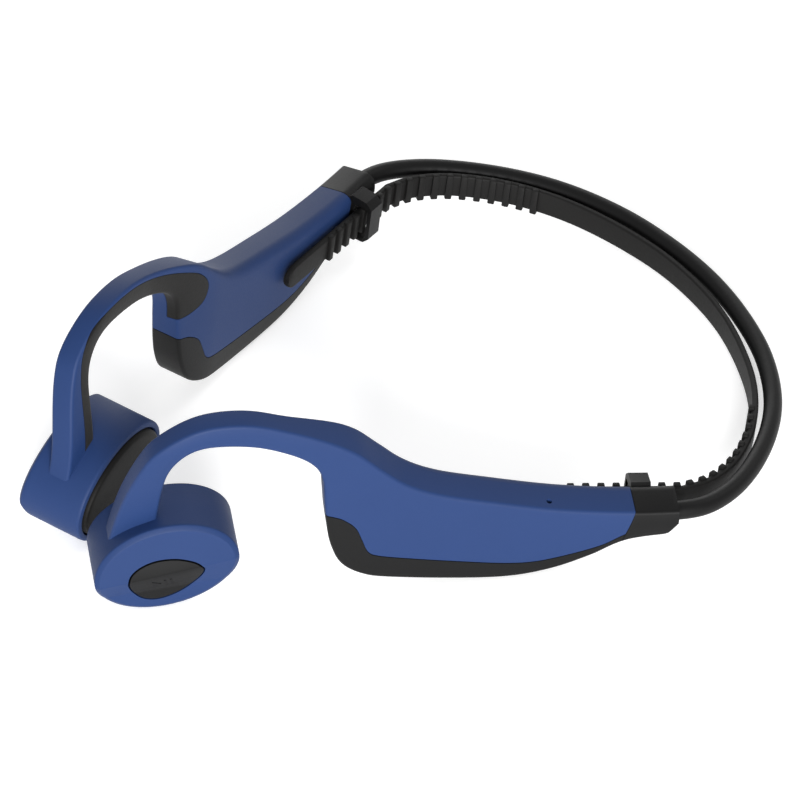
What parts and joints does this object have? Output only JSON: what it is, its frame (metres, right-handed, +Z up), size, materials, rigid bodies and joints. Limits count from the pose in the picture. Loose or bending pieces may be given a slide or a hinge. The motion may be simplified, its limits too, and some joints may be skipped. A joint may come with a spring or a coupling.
{
  "type": "bone conduction headphones",
  "caption": "Open-ear headset with splayed arms, ear hooks and transducer pods, a sprung round neckband and a toothed tightening strap.",
  "frame": {"origin": "on the surface the headset lies on, under the middle of its box, in the mirror plane between the arms", "axes": "+Z up; the wearer faces -Y and the neckband passes behind the head at +Y; +X is the wearer's left"},
  "size_m": [0.1208, 0.1538, 0.0451],
  "materials": {
    "blue_shell": "soft-touch blue moulding",
    "black_shell": "fine matt black moulding",
    "soft_black": "matt silicone",
    "band_rubber": "smooth satin silicone sleeve",
    "strap_rubber": "matt moulded rubber",
    "steel": "plain sheet or wire",
    "magnet": "nickel plated",
    "coil": "enamelled copper winding",
    "board": "green circuit board",
    "cell": "foil pouch",
    "shield": "tinned can"
  },
  "bodies": {
    "band": {"band_sleeve_middle": "band_rubber", "band_core_middle": "steel", "strap_middle": "strap_rubber"},
    "left_arm": {"left_arm_shell": "blue_shell", "left_lower_shell": "black_shell", "left_hook_liner": "soft_black", "left_collar": "black_shell", "left_pod_shell": "blue_shell", "left_pad": "soft_black", "left_spring_plate": "steel", "left_yoke": "steel", "left_magnet": "magnet", "left_voice_coil": "coil", "left_band_sleeve": "band_rubber", "left_band_core": "steel", "left_strap_side": "strap_rubber", "battery": "cell", "mic_capsule": "steel", "play_switch": "steel", "play_switch_board": "board"},
    "right_arm": {"right_arm_shell": "blue_shell", "right_lower_shell": "black_shell", "right_hook_liner": "soft_black", "right_collar": "black_shell", "right_pod_shell": "blue_shell", "right_pad": "soft_black", "right_spring_plate": "steel", "right_yoke": "steel", "right_magnet": "magnet", "right_voice_coil": "coil", "right_band_sleeve": "band_rubber", "right_band_core": "steel", "right_strap_side": "strap_rubber", "right_pod_inlay": "black_shell", "volume_up_switch": "steel", "volume_down_switch": "steel", "charge_socket": "steel", "main_board": "board", "radio_shield": "shield"},
    "left_strap": {"left_strap_tail": "strap_rubber"},
    "right_strap": {"right_strap_tail": "strap_rubber"},
    "play_button": {"play_pause_button": "black_shell"},
    "volume_up": {"volume_up_button": "black_shell"},
    "volume_down": {"volume_down_button": "black_shell"},
    "cover": {"charge_cover": "soft_black"}
  },
  "joints": [
    {"name": "left_flex", "type": "hinge", "parent": "band", "child": "left_arm", "pos_m": [0.013, 0.07386, 0.00399], "axis": [0, 0.1253, 0.9921], "range_deg": [0, 26], "stiffness_Nm_per_rad": 0.14},
    {"name": "right_flex", "type": "hinge", "parent": "band", "child": "right_arm", "pos_m": [-0.013, 0.07386, 0.00399], "axis": [0, -0.1253, -0.9921], "range_deg": [0, 26], "stiffness_Nm_per_rad": 0.14},
    {"name": "left_strap_pull", "type": "slide", "parent": "left_arm", "child": "left_strap", "axis": [-0.4147, -0.9028, 0.114], "range_m": [0, 0.006]},
    {"name": "right_strap_pull", "type": "slide", "parent": "right_arm", "child": "right_strap", "axis": [0.4147, -0.9028, 0.114], "range_m": [0, 0.006]},
    {"name": "play_press", "type": "slide", "parent": "left_arm", "child": "play_button", "axis": [-0.91, 0.4114, -0.052], "range_m": [0, 0.0005], "stiffness_N_per_m": 2000},
    {"name": "volume_up_press", "type": "slide", "parent": "right_arm", "child": "volume_up", "axis": [0, 0.1253, 0.9921], "range_m": [0, 0.0004], "stiffness_N_per_m": 1500},
    {"name": "volume_down_press", "type": "slide", "parent": "right_arm", "child": "volume_down", "axis": [0, 0.1253, 0.9921], "range_m": [0, 0.0004], "stiffness_N_per_m": 1500},
    {"name": "cover_open", "type": "hinge", "parent": "right_arm", "child": "cover", "pos_m": [-0.03753, -0.01643, 0.00219], "axis": [0.91, 0.4114, -0.052], "range_deg": [0, 100]}
  ]
}
